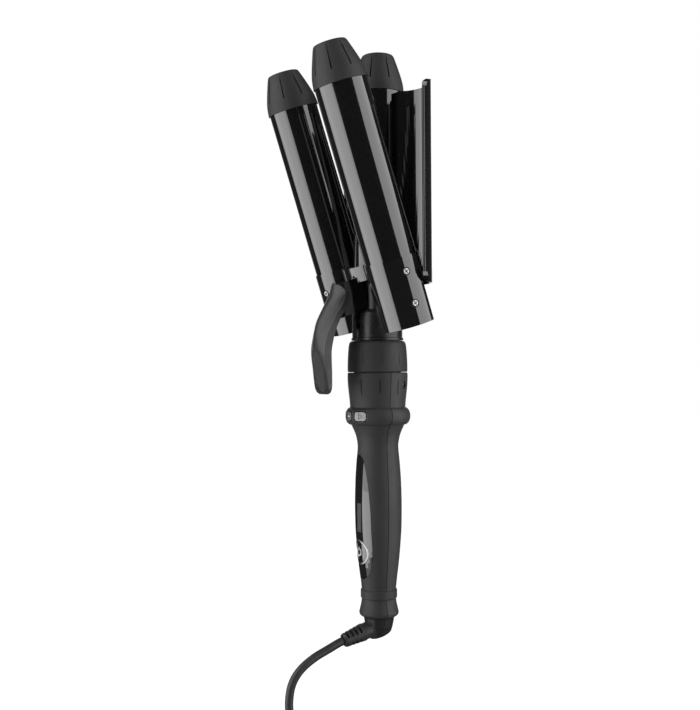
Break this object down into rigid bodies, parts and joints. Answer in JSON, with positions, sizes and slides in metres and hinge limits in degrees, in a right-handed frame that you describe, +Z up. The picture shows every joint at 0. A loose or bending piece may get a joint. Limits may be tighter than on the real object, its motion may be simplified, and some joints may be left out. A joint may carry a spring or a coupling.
{
  "type": "hair waver",
  "caption": "Hair waver with a row of heated barrels on a plug-in head, a thumb lever that works the jaw, a display handle with side keys and a swivelling cord with a plug.",
  "frame": {"origin": "middle of the grip, on the handle axis", "axes": "+Z up along the handle to the barrels, -Y to the front with the thumb lever and display, +X to the right seen from the front"},
  "size_m": [0.1096, 0.086, 0.6486],
  "materials": {
    "soft_black": "soft-touch matte black",
    "dark_plastic": "moulded matte black",
    "gloss_black": "polished black",
    "barrel_coat": "glossy black ceramic coating",
    "silver_trim": "silver trim",
    "key_grey": "satin grey",
    "key_dark": "satin dark grey",
    "screen": "dark display",
    "board": "lacquered board",
    "ivory_plastic": "natural moulded",
    "ceramic": "fired ceramic",
    "aluminium": "extruded",
    "bright_steel": "zinc plated",
    "nickel": "nickel plated",
    "brass": "plain",
    "cord_rubber": "satin black"
  },
  "bodies": {
    "handle": {"handle_front_shell": "soft_black", "handle_rear_shell": "soft_black", "tail_collar": "soft_black", "socket_sleeve": "dark_plastic", "contact_block": "ivory_plastic", "sleeve_screws": "bright_steel", "display_window": "gloss_black", "display_screen": "screen", "circuit_board": "board", "board_screws": "bright_steel", "power_ring": "silver_trim", "key_board": "board", "swivel_bush": "ivory_plastic"},
    "lock_ring": {"lock_ring": "soft_black"},
    "head": {"head_neck": "dark_plastic", "contact_pins": "brass", "fixed_barrel": "barrel_coat", "fixed_cap": "soft_black", "near_wing": "gloss_black", "far_wing": "gloss_black", "fixed_heat_block": "aluminium", "fixed_heater": "ceramic", "jaw_spring": "bright_steel"},
    "jaw": {"jaw_housing": "gloss_black", "hinge_pin": "bright_steel", "near_barrel": "barrel_coat", "far_barrel": "barrel_coat", "near_cap": "soft_black", "far_cap": "soft_black", "near_heat_block": "aluminium", "far_heat_block": "aluminium", "near_heater": "ceramic", "far_heater": "ceramic", "jacket_screws": "bright_steel", "thumb_lever": "soft_black", "thumb_pad": "soft_black", "lever_screw": "bright_steel"},
    "minus_key": {"minus_key": "key_grey"},
    "mode_key": {"mode_key": "key_dark"},
    "plus_key": {"plus_key": "key_grey"},
    "power_button": {"power_button": "gloss_black"},
    "swivel": {"swivel_body": "dark_plastic", "swivel_clip": "bright_steel", "strain_relief": "cord_rubber", "cord_lead": "cord_rubber", "cord_hank": "cord_rubber", "cord_tie": "cord_rubber", "cord_tail": "cord_rubber", "plug_body": "cord_rubber", "plug_pins": "nickel"}
  },
  "joints": [
    {"name": "jaw_hinge", "type": "hinge", "parent": "head", "child": "jaw", "pos_m": [0, 0, 0.143], "axis": [-1, 0, 0], "range_deg": [0, 17.7]},
    {"name": "head_release", "type": "slide", "parent": "handle", "child": "head", "axis": [0, 0, 1], "range_m": [0, 0.045]},
    {"name": "lock_twist", "type": "hinge", "parent": "handle", "child": "lock_ring", "pos_m": [0, 0, 0.1], "axis": [0, 0, 1], "range_deg": [0, 36]},
    {"name": "minus_press", "type": "slide", "parent": "handle", "child": "minus_key", "axis": [0.4924, 0.8704, 0], "range_m": [0, 0.0008], "stiffness_N_per_m": 400},
    {"name": "mode_press", "type": "slide", "parent": "handle", "child": "mode_key", "axis": [0, 1, 0], "range_m": [0, 0.0008], "stiffness_N_per_m": 400},
    {"name": "plus_press", "type": "slide", "parent": "handle", "child": "plus_key", "axis": [-0.4924, 0.8704, 0], "range_m": [0, 0.0008], "stiffness_N_per_m": 400},
    {"name": "power_press", "type": "slide", "parent": "handle", "child": "power_button", "axis": [0, 1, 0], "range_m": [0, 0.0007], "stiffness_N_per_m": 400},
    {"name": "cord_swivel", "type": "hinge", "parent": "handle", "child": "swivel", "pos_m": [0, 0, -0.068], "axis": [0, 0, 1], "continuous": true}
  ]
}
